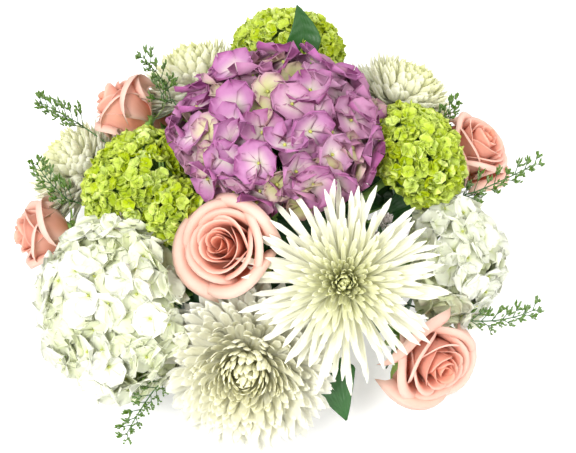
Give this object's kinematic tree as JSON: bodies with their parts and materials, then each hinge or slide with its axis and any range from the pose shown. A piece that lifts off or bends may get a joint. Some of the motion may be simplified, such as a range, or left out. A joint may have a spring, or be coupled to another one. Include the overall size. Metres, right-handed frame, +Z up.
{
  "type": "floral table centerpiece",
  "caption": "Round floral table centerpiece: hydrangeas, roses and chrysanthemums with thin sprigs and leaves, all set in a foam block in a low glazed bowl",
  "frame": {"origin": "centre of the bowl's flat foot, on the table", "axes": "+Z up out of the bowl, -Y towards the front, +X to the right and along the widest spread of the sprigs"},
  "size_m": [0.4255, 0.3398, 0.2273],
  "materials": {
    "bowl_glaze": "smooth off-white glaze",
    "foam_green": "wet, open-grained floral foam",
    "stem_green": "fresh green stem, slightly ribbed",
    "leaf_green": "dark green veined leaf with a soft gloss",
    "sprig_green": "dark green sprig with small dry buds",
    "filler_mauve": "misty filler sprig with tiny pale buds",
    "petal_purple": "orchid petals paling to cream at their hearts",
    "petal_white": "white petals with green depths",
    "petal_lime": "small lime-green florets",
    "petal_cream": "cream-white petals, yellower at the centre",
    "petal_peach": "peach petals, paler at their rolled rims"
  },
  "bodies": {
    "root": {"bowl": "bowl_glaze", "filler_sprig_left": "filler_mauve", "filler_sprig_right": "filler_mauve", "floral_foam": "foam_green", "football_mum_front": "petal_cream", "football_mum_front_stem": "stem_green", "hydrangea_lime_back": "petal_lime", "hydrangea_lime_back_stem": "stem_green", "hydrangea_lime_left": "petal_lime", "hydrangea_lime_left_stem": "stem_green", "hydrangea_lime_right": "petal_lime", "hydrangea_lime_right_stem": "stem_green", "hydrangea_lime_small": "petal_lime", "hydrangea_lime_small_stem": "stem_green", "hydrangea_purple": "petal_purple", "hydrangea_purple_stem": "stem_green", "hydrangea_white_back": "petal_white", "hydrangea_white_back_stem": "stem_green", "hydrangea_white_left": "petal_white", "hydrangea_white_left_stem": "stem_green", "hydrangea_white_right": "petal_white", "hydrangea_white_right_stem": "stem_green", "leaf_back": "leaf_green", "leaf_collar_back": "leaf_green", "leaf_collar_front_right": "leaf_green", "leaf_collar_left": "leaf_green", "leaf_collar_right": "leaf_green", "leaf_right_inner": "leaf_green", "leaf_right_outer": "leaf_green", "mum_back_left": "petal_cream", "mum_back_left_stem": "stem_green", "mum_back_right": "petal_cream", "mum_back_right_stem": "stem_green", "mum_left": "petal_cream", "mum_left_stem": "stem_green", "rose_back_left": "petal_peach", "rose_back_left_stem": "stem_green", "rose_back_right": "petal_peach", "rose_back_right_stem": "stem_green", "rose_center": "petal_peach", "rose_center_stem": "stem_green", "rose_left": "petal_peach", "rose_left_stem": "stem_green", "rose_lower_right": "petal_peach", "rose_lower_right_stem": "stem_green", "rose_right": "petal_peach", "rose_right_stem": "stem_green", "rose_upper_left": "petal_peach", "rose_upper_left_stem": "stem_green", "spider_mum": "petal_cream", "spider_mum_stem": "stem_green", "sprig_front_left": "sprig_green", "sprig_left_high": "sprig_green", "sprig_left_low": "sprig_green", "sprig_right_high": "sprig_green", "sprig_right_low": "sprig_green", "sprig_right_middle": "sprig_green", "sprig_upper_left": "sprig_green", "sprig_upper_right": "sprig_green"}
  },
  "joints": []
}
